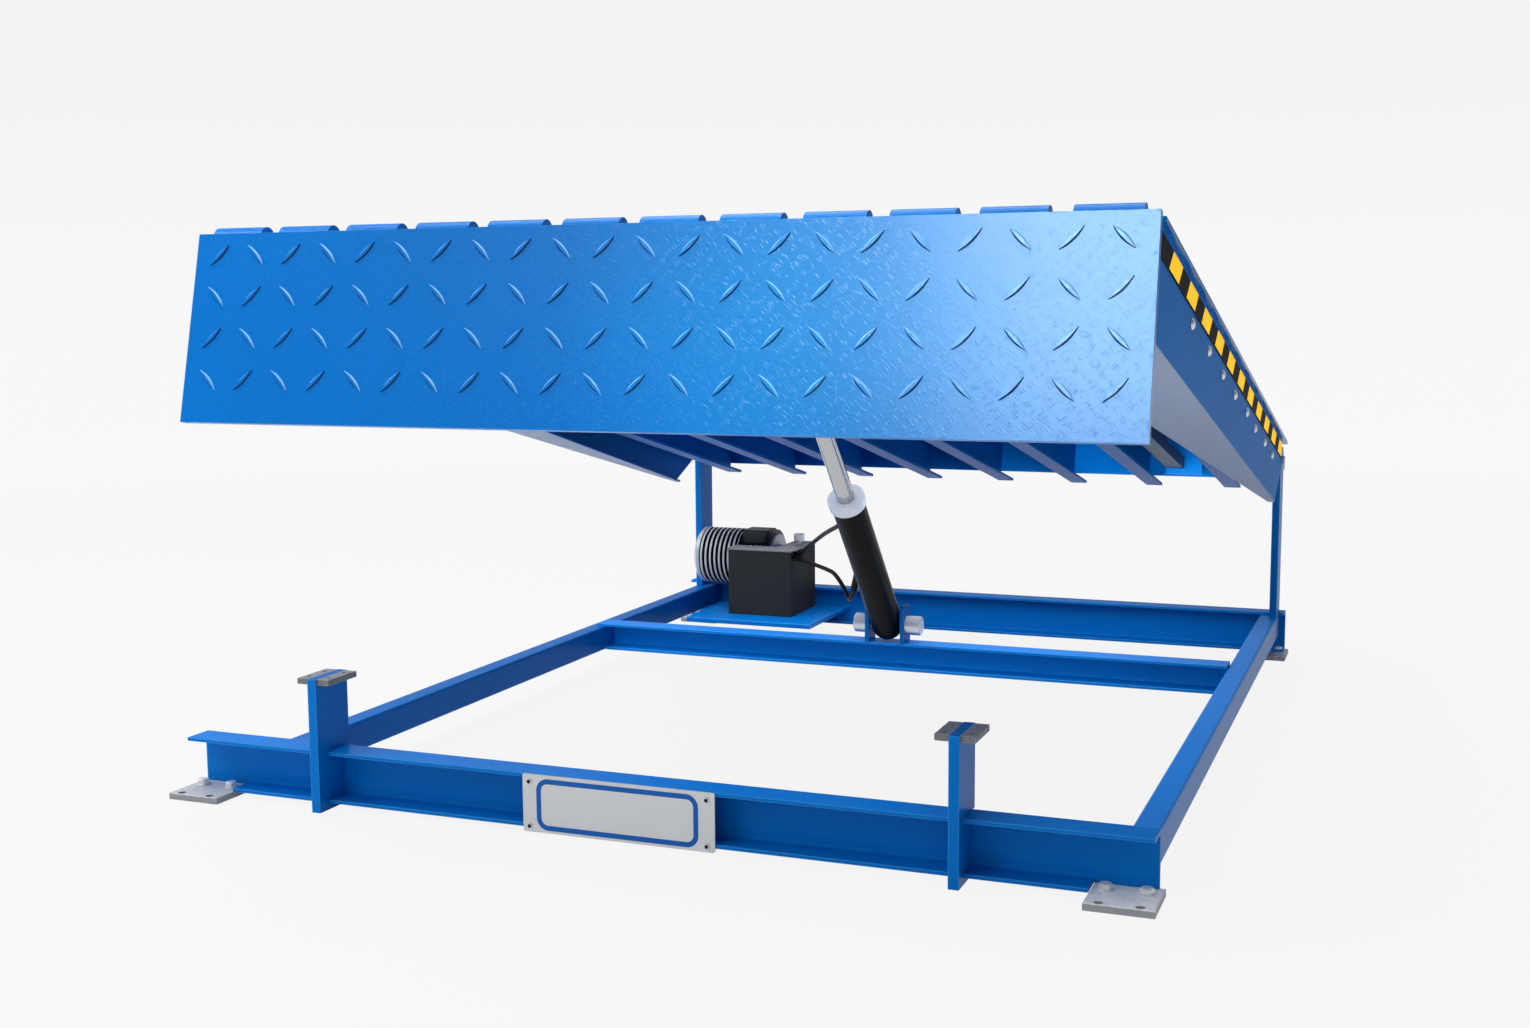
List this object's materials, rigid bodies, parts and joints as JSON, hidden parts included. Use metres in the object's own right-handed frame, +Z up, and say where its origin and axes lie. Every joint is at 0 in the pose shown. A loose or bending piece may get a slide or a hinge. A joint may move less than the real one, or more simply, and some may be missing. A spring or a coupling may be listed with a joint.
{
  "type": "hydraulic dock leveler",
  "caption": "Hydraulic dock leveler: a raised deck with a hanging lip, hinged on a welded base frame and held up by a cylinder with its power unit.",
  "frame": {"origin": "on the floor, at the middle of the whole leveler's outline", "axes": "+Z up, +Y from the lip to the rear hinge, +X to the right seen from the front"},
  "size_m": [2.273, 2.7692, 1.2968],
  "materials": {
    "blue_paint": "gloss enamel",
    "grey_steel": "bare, lightly brushed",
    "plate_metal": "brushed",
    "chrome_rod": "polished",
    "machined_steel": "turned",
    "black_paint": "satin",
    "tank_paint": "satin",
    "prop_paint": "satin",
    "motor_alloy": "cast and turned",
    "black_plastic": "moulded",
    "hose_rubber": "matt",
    "warning_tape": "satin film"
  },
  "bodies": {
    "root": {"front_beam": "blue_paint", "left_side_member": "blue_paint", "right_side_member": "blue_paint", "mid_beam": "blue_paint", "rear_beam": "blue_paint", "front_left_foot": "grey_steel", "front_right_foot": "grey_steel", "rear_left_foot": "grey_steel", "rear_right_foot": "grey_steel", "left_rest_post": "blue_paint", "right_rest_post": "blue_paint", "left_rest_pads": "grey_steel", "right_rest_pads": "grey_steel", "nameplate": "plate_metal", "left_rear_post": "blue_paint", "right_rear_post": "blue_paint", "left_hinge_pin": "machined_steel", "right_hinge_pin": "machined_steel", "cylinder_lugs": "blue_paint", "cylinder_pin": "machined_steel", "pump_tray": "blue_paint", "oil_tank": "tank_paint", "tank_lid": "tank_paint", "breather_cap": "machined_steel", "motor_body": "motor_alloy", "motor_bell": "motor_alloy", "motor_flange": "motor_alloy", "terminal_box": "black_plastic", "tank_fittings": "machined_steel", "upper_hose": "hose_rubber", "lower_hose": "hose_rubber"},
    "deck": {"deck_plate": "blue_paint", "front_header": "blue_paint", "rear_header": "blue_paint", "left_guard": "blue_paint", "right_guard": "blue_paint", "left_warning_strip": "warning_tape", "right_warning_strip": "warning_tape", "rod_clevis": "blue_paint", "lip_rod": "machined_steel", "rod_gussets": "blue_paint", "safety_prop": "prop_paint", "prop_plate": "blue_paint", "joist_1": "blue_paint", "joist_2": "blue_paint", "joist_3": "blue_paint", "joist_4": "blue_paint", "joist_5": "blue_paint", "joist_6": "blue_paint", "joist_7": "blue_paint", "joist_8": "blue_paint"},
    "lip": {"lip": "blue_paint"},
    "barrel": {"barrel": "black_paint", "gland": "machined_steel", "barrel_ports": "machined_steel"},
    "rod": {"piston_rod": "chrome_rod"}
  },
  "joints": [
    {"name": "deck_tilt", "type": "hinge", "parent": "root", "child": "deck", "pos_m": [0.1065, 1.31764, 0.622], "axis": [1, 0, 0], "range_deg": [0, 16.3]},
    {"name": "lip_swing", "type": "hinge", "parent": "deck", "child": "lip", "pos_m": [0.1065, -1.26548, 1.27281], "axis": [-1, 0, 0], "range_deg": [0, 80]},
    {"name": "cylinder_pivot", "type": "hinge", "parent": "root", "child": "barrel", "pos_m": [0.0745, 0.46764, 0.192], "axis": [1, 0, 0], "range_deg": [0, 24.63], "deforming": ["upper_hose", "lower_hose"]},
    {"name": "rod_slide", "type": "slide", "parent": "barrel", "child": "rod", "axis": [0, -0.6741, 0.7387], "range_m": [-0.23951, 0]}
  ],
  "couplings": [
    {"joint": "cylinder_pivot", "follows": "deck_tilt", "ratio": 1.5105},
    {"joint": "rod_slide", "follows": "deck_tilt", "m_per_rad": -0.84155}
  ]
}
